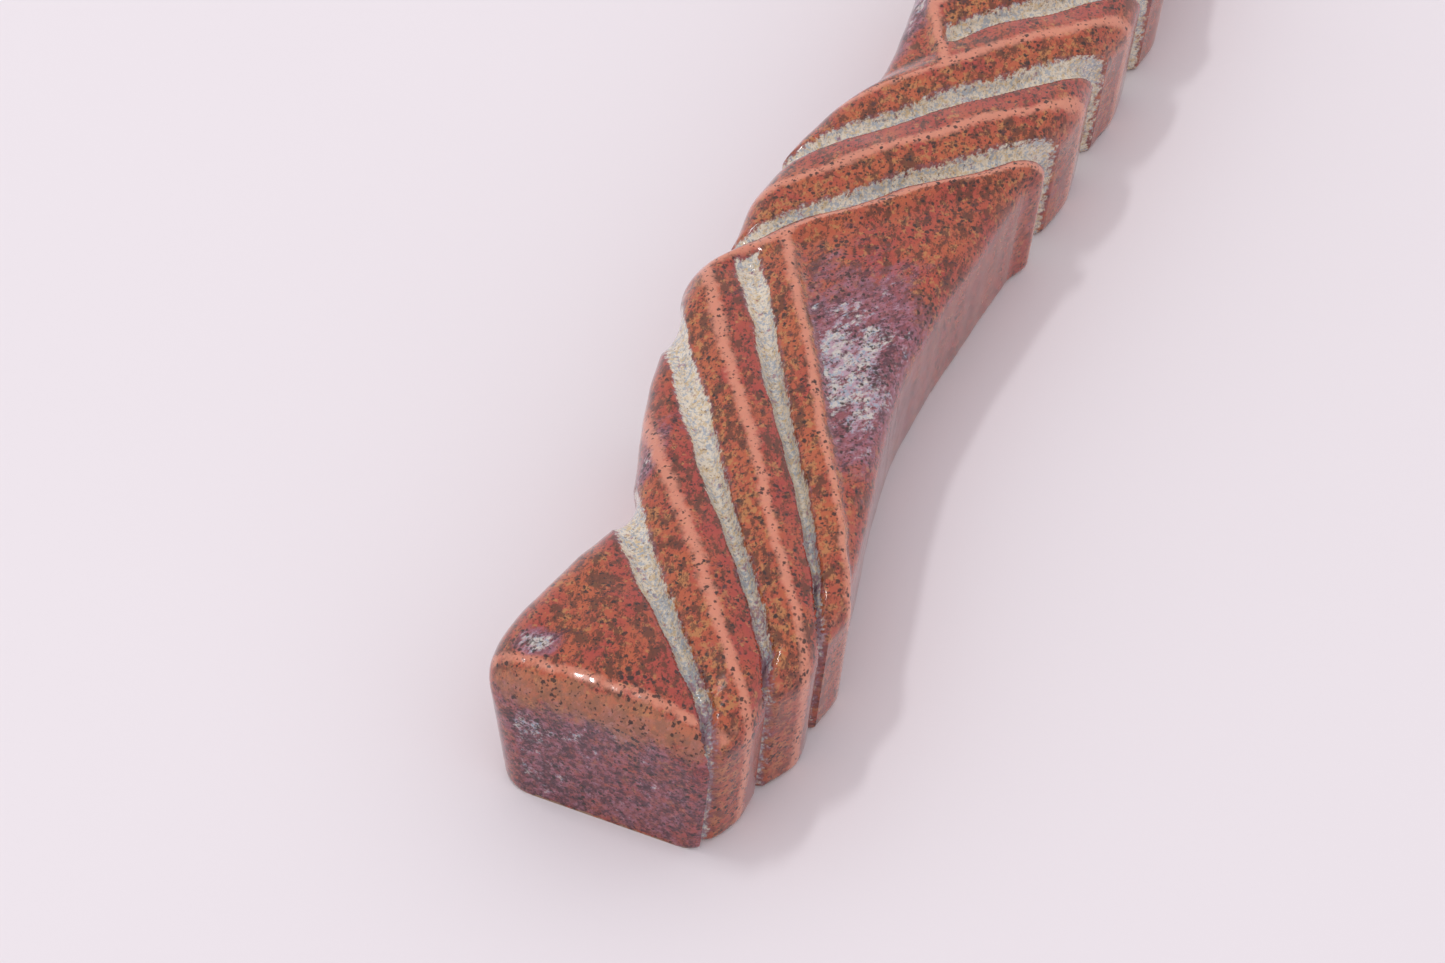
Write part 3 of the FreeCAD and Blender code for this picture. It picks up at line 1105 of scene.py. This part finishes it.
@dataclass
class GlazedShell:
    """One-piece stoneware body: carved skin, flat back, two ends, chamber, neck and keyholes."""

    span: Span
    play: float = 0.05
    end_round: float = 3.2
    edge_round: float = 4.0
    foot_round: float = 0.8
    wall_lean: float = 1.0
    crown: float = 0.7
    relief_fade: float = 1.8
    left_edge: Outline = field(default_factory=lambda: [
        (0.0, 12.4), (5.0, 12.9), (23.5, 9.6), (53.0, 15.9), (65.0, 14.2), (74.0, 14.7), (93.0, 10.2),
        (122.0, 13.4), (150.0, 12.4)])
    right_edge: Outline = field(default_factory=lambda: [
        (0.0, 12.4), (18.0, 16.1), (56.0, 10.4), (100.0, 12.9), (122.0, 13.4), (138.0, 11.4),
        (150.0, 12.2)])
    pattern: CarvedPattern = field(default_factory=CarvedPattern)
    crest_reach: float = 1.5
    pool_spots: tuple[Pool, ...] = (
        Pool(5.6, 48.6, (12.5, 15.0), 0.90, 20.0, True), Pool(-8.3, 4.6, (2.1, 1.9), 1.0),
        Pool(-9.0, 31.0, (1.7, 5.0), 0.8), Pool(-10.5, 104.0, (3.0, 12.0), 1.0),
        Pool(9.0, 140.0, (4.0, 8.0), 0.8, 0.0, True))
    wall_run_off: float = 0.8
    wall_haze: float = 0.2
    end_haze: float = 0.46
    end_spots: tuple[Pool, ...] = (Pool(-8.0, 10.0, (5.5, 2.6), 0.30), Pool(-8.5, 4.0, (4.0, 2.2), 0.34))
    chamber_start: float = 12.0
    chamber_width: float = 11.2
    chamber_height: float = 9.5
    chamber_corner: float = 2.5
    back_wall: float = 4.2
    neck_length: float = 12.0
    neck_flare: float = 0.35
    keyhole_entries: tuple[float, float] = (18.0, 121.0)
    keyhole_radius: float = 4.0
    keyhole_slot: float = 4.6
    keyhole_travel: float = 8.0
    keyhole_softening: float = 0.3
    along_step: float = 0.35
    front_columns: int = 100
    wall_columns: int = 22
    edge_columns: int = 16
    foot_columns: int = 4
    back_columns: int = 14
    cap_rings: int = 22

    @property
    def length(self) -> float:
        """Length of the case."""
        return self.span.size(1)

    @property
    def thickness(self) -> float:
        """Height of the uncarved front, just inside the frame's solid."""
        return self.span.size(2) - self.play

    @property
    def bore_radius(self) -> float:
        """Radius of the neck's bore."""
        return self.chamber_height / 2.0

    @property
    def bore_height(self) -> float:
        """Height of the bore's axis above the back."""
        return self.back_wall + self.bore_radius

    def stations(self) -> np.ndarray:
        """Places of the sections, close together round the ends.

        Returns:
            Distances from the bottom end.
        """
        turns = np.radians(np.linspace(0.0, 90.0, 15)[:-1])
        ends = self.end_round * (1.0 - np.cos(turns))
        inner = self.length - 2.0 * self.end_round
        middle = self.end_round + np.linspace(0.0, inner, math.ceil(inner / self.along_step) + 1)
        return np.concatenate([ends, middle, self.length - ends[::-1]])

    @staticmethod
    def half_width(edge: Outline, place: np.ndarray) -> np.ndarray:
        """Half width, which swings smoothly between the listed bulges and waists.

        Args:
            edge: Place and half width of each bulge and waist.
            place: Distance from the bottom end.

        Returns:
            The half widths.
        """
        width = np.full_like(place, edge[-1][1])
        for (start, first), (end, second) in reversed(list(zip(edge, edge[1:]))):
            swing = first + (second - first) * ease((place - start) / (end - start))
            width = np.where(place <= end, swing, width)
        return width

    def side(self, half: float, top: float) -> list[tuple[float, float, float, float]]:
        """Half of a section from the back up to the front.

        Args:
            half: Half width at the top of the wall.
            top: Height of the front.

        Returns:
            Points as (x, z, outward x, outward z).
        """
        foot = half - self.wall_lean
        points = []
        for step in range(self.foot_columns):
            turn = math.radians(90.0 * step / self.foot_columns)
            points.append((foot - self.foot_round * (1.0 - math.sin(turn)),
                           self.foot_round * (1.0 - math.cos(turn)), 1.0, 0.0))
        wall_top = top - self.crown - self.edge_round
        for step in range(self.wall_columns):
            climb = step / self.wall_columns
            height = self.foot_round + (wall_top - self.foot_round) * climb
            points.append((foot + self.wall_lean * climb, height, 1.0, 0.0))
        for step in range(self.edge_columns):
            turn = math.radians(90.0 * step / self.edge_columns)
            points.append((half - self.edge_round * (1.0 - math.cos(turn)),
                           wall_top + self.edge_round * math.sin(turn), math.cos(turn), math.sin(turn)))
        return points

    def section(self, left: float, right: float, top: float) -> np.ndarray:
        """Uncarved section from the left foot to the right foot.

        Args:
            left: Left half width.
            right: Right half width.
            top: Height of the front.

        Returns:
            Rows of (x, z, outward x, outward z).
        """
        base = [(-x, z, -out_x, out_z) for x, z, out_x, out_z in self.side(left, top)]
        start = self.edge_round - left
        end = right - self.edge_round
        for step in range(self.front_columns + 1):
            x = start + (end - start) * step / self.front_columns
            bow = (2.0 * x - start - end) / (end - start)
            base.append((x, top - self.crown * bow * bow, 0.0, 1.0))
        base += reversed(self.side(right, top))
        return np.array(base)

    def skin(self) -> tuple[np.ndarray, dict[Trace, np.ndarray]]:
        """Carved skin.

        Returns:
            Grid of points and the values that the glaze follows.
        """
        along = self.stations()
        reach = np.minimum(along, self.length - along)
        inset = self.end_round - np.sqrt(np.maximum(
            0.0, self.end_round ** 2 - np.maximum(0.0, self.end_round - reach) ** 2))
        left = self.half_width(self.left_edge, along) - inset
        right = self.half_width(self.right_edge, along) - inset
        base = np.array([self.section(*row) for row in zip(left, right, self.thickness - inset)])
        x, z, out_x, out_z = (base[:, :, index] for index in range(4))
        place = np.repeat(along[:, None], x.shape[1], axis=1)
        on_wall = np.where(out_x < 0.0, -left[:, None], right[:, None])
        plan_x = np.where(out_z == 0.0, on_wall, x)
        carving = self.pattern.carve(plan_x, place)
        fade = ease(reach / self.relief_fade)[:, None]
        depth = carving.depth * fade + self.hand_marks(plan_x, place) * fade
        points = np.stack([x - out_x * depth, place - self.length / 2.0, z - out_z * depth], axis=2)
        return points, self.traces(carving, plan_x, place, z, out_z, reach)

    @staticmethod
    def hand_marks(x: np.ndarray, place: np.ndarray) -> np.ndarray:
        """Shallow unevenness left by hand work, never above the uncarved surface.

        Args:
            x: Place across the case.
            place: Distance from the bottom end.

        Returns:
            Depth of the marks.
        """
        slow = np.sin(0.31 * place + 0.4 * x) * np.sin(0.23 * place - 0.5 * x + 1.1)
        quick = np.sin(0.9 * place + 1.3 * x) * np.sin(0.7 * place - 1.1 * x + 0.4)
        return 0.10 + 0.07 * slow + 0.03 * quick

    def traces(self, carving: Carving, x: np.ndarray, place: np.ndarray, z: np.ndarray,
               out_z: np.ndarray, reach: np.ndarray) -> dict[Trace, np.ndarray]:
        """Values that the glaze follows.

        Args:
            carving: Carving of the skin.
            x: Place across the case.
            place: Distance from the bottom end.
            z: Height of the uncarved skin.
            out_z: Upward share of the outward direction.
            reach: Distance of each station from its end.

        Returns:
            One grid for each trace.
        """
        crest = np.maximum(0.0, 1.0 - carving.crest / self.crest_reach)
        edge = np.exp(-((reach - self.end_round * 0.75) / 0.9) ** 2)[:, None] * (out_z > 0.4)
        rounded = np.where((out_z > 0.0) & (out_z < 1.0), np.sin(np.pi * out_z) ** 2, 0.0)
        rounded = rounded * (0.45 - 0.35 * carving.plain)
        on_end = 1.0 - ease((reach - 0.6) / 1.8)[:, None]
        return {
            Trace.GROOVE: np.clip(carving.lip + LIP_SHIFT, 0.0, 2.0 * LIP_SHIFT) * ease(reach[:, None] / 0.9),
            Trace.CREST: np.maximum(np.maximum(crest * (1.0 - 0.5 * carving.plain), edge * 0.8), rounded),
            # Painted light and shade of the groove sides.
            Trace.SIDE_SHADING: carving.tilt,
            Trace.WALL: np.clip(1.0 - out_z, 0.0, 1.0) * np.ones_like(x),
            Trace.POOL: np.maximum(self.pools(x, place, carving, out_z), on_end * 0.40),
        }

    def pools(self, x: np.ndarray, place: np.ndarray, carving: Carving, out_z: np.ndarray) -> np.ndarray:
        """Where the glaze has pooled in streaks on the plain fields and walls.

        Args:
            x: Place across the case.
            place: Distance from the bottom end.
            carving: Carving of the skin.
            out_z: Upward share of the outward direction.

        Returns:
            Share of pooling.
        """
        spots = sum(pool.share(x, place) * (carving.plain if pool.on_field else 1.0)
                    for pool in self.pool_spots)
        side = 1.0 - out_z
        return np.clip(spots * (1.0 - self.wall_run_off * side) + self.wall_haze * side, 0.0, 1.0)

    def bar(self, glaze: bpy.types.Material, clay: bpy.types.Material) -> bpy.types.Object:
        """Closed solid bar before the chamber is cut.

        Args:
            glaze: Finish of the skin and the ends.
            clay: Finish of the back.

        Returns:
            The bar.
        """
        grid, traces = self.skin()
        rows, columns = grid.shape[:2]
        share = np.linspace(0.0, 1.0, self.back_columns + 2)[1:-1]
        back = grid[:, :1] + (grid[:, -1:] - grid[:, :1]) * share[None, :, None]
        loop = np.concatenate([grid, back[:, ::-1]], axis=1)
        around = loop.shape[1]
        values = {name: np.concatenate([value, np.zeros(back.shape[:2])], axis=1).ravel()
                  for name, value in traces.items()}
        points = [loop.reshape(-1, 3)]
        step = np.arange(around)
        after = (step + 1) % around
        row = np.arange(rows - 1)[:, None] * around
        quads = np.stack([row + step, row + around + step, row + around + after, row + after], axis=2)
        on_back = np.tile(step >= columns - 1, rows - 1)
        faces = quads.reshape(-1, 4).tolist()
        materials = on_back.astype(int).tolist()
        offset = rows * around
        for end, first in ((0, 0), (1, (rows - 1) * around)):
            cap, cap_faces = self.cap(loop[-end], first, offset)
            points.append(cap)
            faces += cap_faces
            materials += [0] * len(cap_faces)
            for name in values:
                filler = {Trace.POOL: self.end_pool(cap), Trace.WALL: 0.8}.get(name, 0.0)
                values[name] = np.concatenate([values[name], np.zeros(len(cap)) + filler])
            offset += len(cap)
        made = make_object("glazed_case", np.concatenate(points), faces, [glaze, clay])
        made.data.polygons.foreach_set("material_index", materials)
        for name, value in values.items():
            stored = made.data.attributes.new(name.value, "FLOAT", "POINT")
            stored.data.foreach_set("value", value.astype(np.float32))
        face_outwards(made)
        return made

    def end_pool(self, points: np.ndarray) -> np.ndarray:
        """Pooled glaze on an end face, where a spot's place is its height."""
        return self.end_haze + sum(pool.share(points[:, 0], points[:, 2]) for pool in self.end_spots)

    def cap(self, ring: np.ndarray, first: int, offset: int) -> tuple[np.ndarray, list[list[int]]]:
        """Nearly flat end face, as rings that shrink to its middle.

        Args:
            ring: Points of the end section.
            first: Index of the ring's first vertex.
            offset: Index of the first new vertex.

        Returns:
            The new points and their faces.
        """
        count = len(ring)
        middle = np.array([0.0, ring[0][1], self.bore_height])
        inward = -np.sign(ring[0][1])
        shares = 1.0 - np.arange(1, self.cap_rings) / self.cap_rings
        rings = [middle + (ring - middle) * share + [0.0, inward * 0.12 * (1.0 - share ** 2), 0.0]
                 for share in shares]
        points = np.concatenate(rings + [middle[None, :] + [[0.0, inward * 0.12, 0.0]]])
        starts = [first] + [offset + index * count for index in range(self.cap_rings - 1)]
        faces = []
        for outer, inner in zip(starts, starts[1:]):
            faces += [[outer + step, outer + (step + 1) % count, inner + (step + 1) % count, inner + step]
                      for step in range(count)]
        tip = offset + (self.cap_rings - 1) * count
        faces += [[starts[-1] + step, starts[-1] + (step + 1) % count, tip] for step in range(count)]
        return points, faces

    def hollow(self, clay: bpy.types.Material) -> bpy.types.Object:
        """Space inside: chamber, neck and both keyholes.

        Args:
            clay: Finish of the walls that it leaves.

        Returns:
            The space as a solid.
        """
        half, corner = self.chamber_width / 2.0, self.chamber_corner
        low, high = self.back_wall + corner, self.back_wall + self.chamber_height - corner
        quarters = ((half - corner, high), (corner - half, high), (corner - half, low), (half - corner, low))
        outline = [point for turn, centre in enumerate(quarters)
                   for point in arc(centre, corner, 90 * turn, 90 * turn + 90, 8)]
        top = self.length / 2.0
        ends = (self.chamber_start - top, top - self.neck_length)
        space = prism("chamber", [[(x, y, z) for x, z in outline] for y in ends], clay)
        circle = arc((0.0, self.bore_height), 1.0, 0, 360, 96)[:-1]
        profile = [(ends[1] - CUT_PAST, 0.0), (top - self.neck_flare, 0.0), (top, self.neck_flare),
                   (top + CUT_PAST, self.neck_flare)]
        rings = [[(x * (self.bore_radius + grow), y, self.bore_height + (z - self.bore_height)
                   * (self.bore_radius + grow)) for x, z in circle] for y, grow in profile]
        boolean(space, prism("neck", rings, clay), "UNION")
        for entry in self.keyhole_entries:
            boolean(space, self.keyhole(entry - top, clay), "UNION")
        return space

    def keyhole(self, entry: float, clay: bpy.types.Material) -> bpy.types.Object:
        """Round entry and slot through the back wall, with a softened mouth.

        Args:
            entry: Place of the entry's centre.
            clay: Finish of its walls.

        Returns:
            The keyhole as a solid.
        """
        soft = self.keyhole_softening
        heights = [(-CUT_PAST, soft), (0.0, soft), (soft, 0.0), (self.back_wall + CUT_PAST, 0.0)]
        rings = [[(x, y, z) for x, y in self.keyhole_outline(entry, grow)] for z, grow in heights]
        return prism("keyhole", rings, clay)

    def keyhole_outline(self, entry: float, grow: float) -> Outline:
        """Outline of a keyhole.

        Args:
            entry: Place of the entry's centre.
            grow: Distance by which the outline is widened.

        Returns:
            Points as (x, y).
        """
        radius, half = self.keyhole_radius + grow, self.keyhole_slot / 2.0 + grow
        join = math.degrees(math.asin(half / radius))
        return (arc((0.0, entry + self.keyhole_travel), half, 0, 180, 24)
                + arc((0.0, entry), radius, 90 + join, 450 - join, 60))

    def build(self) -> bpy.types.Object:
        """Build and dress the shell.

        Returns:
            The finished piece.
        """
        glaze = ReactiveGlaze().material()
        clay = BareClay().material()
        shell = self.bar(glaze, clay)
        boolean(shell, self.hollow(clay), "DIFFERENCE")
        smooth(shell)
        adopt(shell, "case_shell", Body.CASE)
        return shell


@dataclass
class RibbedStopper:
    """Rubber bung with sealing ribs in the neck and a rounded flange outside."""

    span: Span
    face: float
    play: float = 0.02
    core_radius: float = 3.97
    rib_radius: float = 4.66
    flange_round: float = 0.8
    nose_radius: float = 2.2
    nose_recess: float = 0.9
    nose_lip: float = 0.1
    nose_round: float = 0.5
    face_dish: tuple[tuple[float, float], ...] = (
        (3.4, 0.05), (3.1, 0.45), (2.5, 0.6), (0.8, 0.62), (0.45, 0.35), (0.0, 0.32))
    rib_places: tuple[float, ...] = (2.13, 5.0, 7.87)
    rib_half: float = 0.7
    segments: int = 128

    @property
    def axis_height(self) -> float:
        """Height of the stopper's axis."""
        return self.span.middle(2)

    @property
    def depth(self) -> float:
        """Reach into the neck."""
        return self.face - self.span.low[1]

    @property
    def flange_radius(self) -> float:
        """Radius of the flange."""
        return self.span.size(0) / 2.0 - self.play

    @property
    def flange_thickness(self) -> float:
        """Height of the flange above the end face."""
        return self.span.high[1] - self.face - self.play

    def profile(self) -> Outline:
        """Profile from the middle of the inner end to the middle of the flange.

        Returns:
            Radius and distance from the end face of each point.
        """
        nose = self.nose_recess - self.depth
        points: Outline = [(0.0, nose), (self.nose_radius, nose),
                           (self.nose_radius + 0.4, self.nose_lip - self.depth)]
        points += arc((self.core_radius - self.nose_round, self.nose_round - self.depth), self.nose_round,
                      -90, 0, 6)
        for place in self.rib_places:
            middle = place - self.depth
            for step in range(13):
                turn = math.pi * step / 12
                lift = math.sin(turn) ** 0.8 * (self.rib_radius - self.core_radius)
                points.append((self.core_radius + lift, middle - self.rib_half * math.cos(turn)))
        points += [(self.core_radius, -0.15), (self.core_radius + 0.15, 0.0), (self.flange_radius - 0.1, 0.0)]
        points += arc((self.flange_radius - 0.15, 0.15), 0.15, -90, 0, 4)
        edge = self.flange_radius - self.flange_round
        points += arc((edge, self.flange_thickness - self.flange_round), self.flange_round, 0, 90, 10)
        return points + [(radius, self.flange_thickness - depth) for radius, depth in self.face_dish]

    def build(self) -> bpy.types.Object:
        """Build and dress the stopper.

        Returns:
            The finished piece.
        """
        profile = self.profile()
        inner = profile[1:-1]
        points = [(0.0, self.face + profile[0][1], self.axis_height)]
        for radius, place in inner:
            for step in range(self.segments):
                turn = 2.0 * math.pi * step / self.segments
                points.append((radius * math.cos(turn), self.face + place,
                               self.axis_height + radius * math.sin(turn)))
        points.append((0.0, self.face + profile[-1][1], self.axis_height))
        count = self.segments
        faces = [[0, 1 + step, 1 + (step + 1) % count] for step in range(count)]
        for row in range(len(inner) - 1):
            start = 1 + row * count
            faces += [[start + step, start + count + step, start + count + (step + 1) % count,
                       start + (step + 1) % count] for step in range(count)]
        last = 1 + (len(inner) - 1) * count
        faces += [[last + step, len(points) - 1, last + (step + 1) % count] for step in range(count)]
        stopper = make_object("ribbed_stopper", points, faces, [MouldedRubber().material()])
        face_outwards(stopper)
        smooth(stopper, 40.0)
        adopt(stopper, "neck_stopper", Body.STOPPER)
        return stopper


@dataclass
class RolledParchment:
    """One sheet of parchment wound into a tight spiral."""

    span: Span
    axis_height: float
    play: float = 0.03
    inset: float = 0.05
    core_radius: float = 1.25
    sheet: float = 0.27
    pitch: float = 0.45
    steps_a_turn: int = 72
    length_steps: int = 80

    def build(self) -> bpy.types.Object:
        """Build and dress the scroll.

        Returns:
            The finished piece.
        """
        outer_radius = self.span.size(0) / 2.0 - self.play
        turns = (outer_radius - self.core_radius) / self.pitch
        count = int(turns * self.steps_a_turn)
        turn = np.linspace(0.0, 2.0 * math.pi * turns, count)
        outer = outer_radius - self.pitch * turn / (2.0 * math.pi)
        share = np.linspace(0.0, 1.0, self.length_steps)[:, None]
        telescoped = 0.5 + 0.5 * np.sin(1.7 * turn + 0.5 * np.sin(0.9 * turn))
        low = self.span.low[1] + self.inset + 0.35 * telescoped
        high = self.span.high[1] - self.inset - 0.45 * telescoped[::-1]
        place = low + (high - low) * share
        sag = 0.02 * np.sin(0.2 * place + turn) - 0.02
        sheets = []
        for thickness in (0.0, self.sheet):
            radius = outer + sag - thickness
            sheets.append(np.stack([radius * np.cos(turn), place, self.axis_height + radius * np.sin(turn)],
                                   axis=2))
        points = np.concatenate([part.reshape(-1, 3) for part in sheets])
        faces = double_wall(self.length_steps, count, False)
        scroll = make_object("rolled_parchment", points, faces, [AnimalParchment().material()])
        face_outwards(scroll)
        smooth(scroll, 60.0)
        adopt(scroll, "parchment_scroll", Body.SCROLL)
        return scroll


@dataclass
class FilmSleeve:
    """Clear film tube round the scroll, with an overlapped seam and soft wrinkles."""

    span: Span
    axis_height: float
    play: float = 0.01
    film: float = 0.10
    around: int = 160
    length_steps: int = 220

    def build(self) -> bpy.types.Object:
        """Build and dress the sleeve.

        Returns:
            The finished piece.
        """
        turn = np.linspace(0.0, 2.0 * math.pi, self.around, endpoint=False)
        start, end = self.span.low[1], self.span.high[1]
        place = np.linspace(start, end, self.length_steps)[:, None]
        round_wave = np.sin(5.0 * turn + 1.1 * np.sin(0.21 * place))
        wrinkle = 0.5 + 0.5 * round_wave * np.sin(0.33 * place + 2.0 * turn)
        seam = np.exp(-((turn - 1.2) / 0.05) ** 2)
        lips = 0.5 + 0.5 * np.cos(3.0 * turn + 0.4)
        dent = 0.09 * wrinkle * (1.0 - seam) + 0.05 * (1.0 - seam)
        ends = np.exp((start - place) / 1.2) + np.exp((place - end) / 1.2)
        dent = dent + 0.10 * ends * lips
        sheets = []
        for thickness in (0.0, self.film):
            radius = self.span.size(0) / 2.0 - self.play - dent - thickness
            sheets.append(np.stack([radius * np.cos(turn), place + 0.0 * turn,
                                    self.axis_height + radius * np.sin(turn)], axis=2))
        points = np.concatenate([part.reshape(-1, 3) for part in sheets])
        faces = double_wall(self.length_steps, self.around, True)
        sleeve = make_object("film_sleeve", points, faces, [ClearFilm().material()])
        face_outwards(sleeve)
        smooth(sleeve, 60.0)
        adopt(sleeve, "scroll_sleeve", Body.SCROLL)
        return sleeve


@dataclass(frozen=True)
class Softbox:
    """Soft rectangular light that looks at the case: place in millimetres, size in metres, watts."""

    name: str
    place: tuple[float, float, float]
    size: tuple[float, float]
    power: float

    def hang(self) -> None:
        """Hang the light."""
        light = bpy.data.lights.new(self.name, "AREA")
        light.shape = "RECTANGLE"
        light.size, light.size_y = self.size
        light.energy = self.power
        made = bpy.data.objects.new(self.name, light)
        made.location = Vector(self.place) * MM
        made.rotation_euler = (-made.location).to_track_quat("-Z", "Y").to_euler()
        bpy.context.scene.collection.objects.link(made)


@dataclass
class Studio:
    """Paper floor, soft lights and the camera."""

    camera_at: tuple[float, float, float] = (90.9, -257.1, 273.35)
    camera_turn: float = 23.36
    camera_pitch: float = 48.0
    lens: float = 89.7
    sky: Colour = (0.90, 0.865, 0.90)
    sky_strength: float = 1.0
    softboxes: tuple[Softbox, ...] = (
        Softbox("top_softbox", (-330.0, -60.0, 900.0), (0.19, 0.06), 1.5),
        Softbox("left_softbox", (-900.0, -150.0, 420.0), (1.2, 1.0), 0.12))
    floor_half: float = 2.5

    def floor(self) -> None:
        """Lay the paper."""
        reach = self.floor_half / MM
        ground = make_object("paper_floor", [(-reach, -reach, 0), (reach, -reach, 0), (reach, reach, 0),
                                             (-reach, reach, 0)], [[0, 1, 2, 3]], [StudioPaper().material()])

    def lights(self) -> None:
        """Light the case."""
        world = bpy.data.worlds.new("studio")
        world.use_nodes = True
        background = world.node_tree.nodes["Background"]
        background.inputs["Color"].default_value = (*self.sky, 1.0)
        background.inputs["Strength"].default_value = self.sky_strength
        bpy.context.scene.world = world
        for softbox in self.softboxes:
            softbox.hang()

    def camera(self) -> None:
        """Set the camera."""
        lens = bpy.data.cameras.new("camera")
        lens.sensor_width = 36.0
        lens.lens = self.lens
        lens.clip_start = 0.01
        made = bpy.data.objects.new("camera", lens)
        made.location = Vector(self.camera_at) * MM
        made.rotation_euler = (math.radians(90.0 - self.camera_pitch), 0.0, math.radians(self.camera_turn))
        bpy.context.scene.collection.objects.link(made)
        bpy.context.scene.camera = made

    def build(self) -> None:
        """Build the studio."""
        self.floor()
        self.lights()
        self.camera()
        bpy.context.scene.view_settings.view_transform = "Standard"


def main() -> None:
    """Build the case in order; each piece logs its face count and its node's box."""
    logging.basicConfig(level=logging.INFO, format="%(name)s: %(message)s")
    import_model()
    Studio().build()
    shell = GlazedShell(Span.of("case_shell"))
    stopper = RibbedStopper(Span.of("neck_stopper"), shell.length / 2.0)
    scroll = RolledParchment(Span.of("parchment_scroll"), stopper.axis_height)
    sleeve = FilmSleeve(Span.of("scroll_sleeve"), stopper.axis_height)
    for part in (shell, stopper, scroll, sleeve):
        part.build()


if __name__ == "__main__":
    main()
